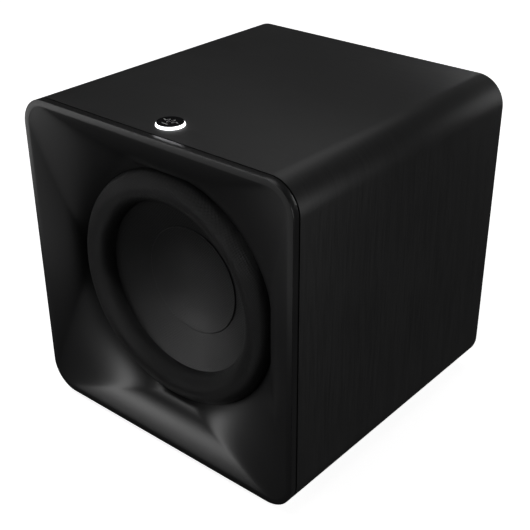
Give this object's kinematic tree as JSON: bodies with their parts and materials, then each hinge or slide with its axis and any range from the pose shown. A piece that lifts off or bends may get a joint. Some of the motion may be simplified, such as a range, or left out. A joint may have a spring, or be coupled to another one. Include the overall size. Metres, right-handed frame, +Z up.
{
  "type": "subwoofer",
  "caption": "Cube powered subwoofer with a flared front, a large long-throw cone, a lit top badge and a recessed rear control panel.",
  "frame": {"origin": "on the floor, under the middle of the cabinet", "axes": "-Y out of the front (the cone faces -Y), +X to the right of someone facing the front, +Z up"},
  "size_m": [0.32, 0.32, 0.3312],
  "materials": {
    "vinyl_black": "black ash vinyl, fine directional grain, satin",
    "board_raw": "fibreboard, raw",
    "board_black": "fibreboard, sprayed black",
    "moulding_black": "moulded plastic, satin black",
    "rubber_black": "moulded rubber, embossed with a fine lattice",
    "cone_black": "woven fibre, lacquered",
    "basket_black": "powder coated",
    "steel_plated": "zinc plated",
    "screw_black": "black oxide",
    "ferrite": "ground ferrite",
    "copper_wire": "enamelled copper wire",
    "former_film": "aluminium foil former",
    "spider_cloth": "resin-dipped cotton",
    "foam_black": "closed-cell foam",
    "wadding_white": "polyester wadding",
    "lead_red_black": "flexible insulation",
    "tinsel": "braided copper tinsel",
    "panel_black": "moulded, fine spark texture",
    "circuit_green": "solder mask",
    "heat_sink_black": "black anodised extrusion",
    "can_black": "sleeved capacitor can",
    "control_plastic": "satin black",
    "gold_plate": "gold plated",
    "nickel_plate": "nickel plated",
    "lens_clear": "clear light pipe",
    "badge_black": "gloss black with a fine silver mark",
    "badge_glow": "milky diffuser, lit white"
  },
  "bodies": {
    "cabinet": {"cabinet_shell": "board_raw", "vinyl_wrap": "vinyl_black", "driver_board": "board_black", "window_brace": "board_raw", "rear_board": "board_black", "wadding": "wadding_white", "rubber_feet": "foam_black", "foot_screws": "screw_black", "front_flare": "moulding_black", "flare_screws": "screw_black", "throat_seal": "foam_black", "driver_basket": "basket_black", "surround": "rubber_black", "spider": "spider_cloth", "top_plate": "steel_plated", "magnet_ring": "ferrite", "pole_yoke": "steel_plated", "driver_seal": "foam_black", "driver_screws": "screw_black", "terminal_block": "control_plastic", "speaker_leads": "lead_red_black", "badge_lead": "lead_red_black", "tinsel_leads": "tinsel", "amp_panel": "panel_black", "panel_gasket": "foam_black", "panel_screws": "screw_black", "amp_tray": "steel_plated", "lead_grommet": "foam_black", "main_board": "circuit_green", "board_screws": "steel_plated", "heat_sink": "heat_sink_black", "transformer_core": "ferrite", "transformer_winding": "copper_wire", "filter_capacitors": "can_black", "output_chokes": "copper_wire", "control_board": "circuit_green", "wireless_module": "nickel_plate", "control_pots": "control_plastic", "phase_switch": "control_plastic", "line_sockets": "control_plastic", "line_socket_collars": "gold_plate", "status_lens": "lens_clear", "mains_inlet": "control_plastic", "inlet_pins": "nickel_plate", "power_switch": "control_plastic", "badge_light_ring": "badge_glow", "badge_disc": "badge_black", "badge_board": "circuit_green"},
    "cone_group": {"cone": "cone_black", "dust_cap": "cone_black", "coil_former": "former_film", "voice_coil": "copper_wire"},
    "level_dial": {"level_knob": "control_plastic", "level_shaft": "nickel_plate"},
    "crossover_dial": {"crossover_knob": "control_plastic", "crossover_shaft": "nickel_plate"},
    "phase_tip": {"phase_slider": "control_plastic"},
    "rocker": {"power_rocker": "control_plastic"},
    "pairing_key": {"pairing_button": "control_plastic"}
  },
  "joints": [
    {"name": "cone_stroke", "type": "slide", "parent": "cabinet", "child": "cone_group", "axis": [0, -1, 0], "range_m": [-0.01, 0.01], "stiffness_N_per_m": 2500, "deforming": ["surround", "spider", "tinsel_leads"]},
    {"name": "level_turn", "type": "hinge", "parent": "cabinet", "child": "level_dial", "pos_m": [0.046, 0.145, 0.226], "axis": [0, 1, 0], "range_deg": [-150, 150]},
    {"name": "crossover_turn", "type": "hinge", "parent": "cabinet", "child": "crossover_dial", "pos_m": [0.006, 0.145, 0.226], "axis": [0, 1, 0], "range_deg": [-150, 150]},
    {"name": "phase_throw", "type": "slide", "parent": "cabinet", "child": "phase_tip", "axis": [1, 0, 0], "range_m": [0, 0.003]},
    {"name": "power_rock", "type": "hinge", "parent": "cabinet", "child": "rocker", "pos_m": [-0.04, 0.143, 0.112], "axis": [1, 0, 0], "range_deg": [-20, 0]},
    {"name": "pairing_press", "type": "slide", "parent": "cabinet", "child": "pairing_key", "axis": [0, -1, 0], "range_m": [0, 0.0008], "stiffness_N_per_m": 400}
  ]
}
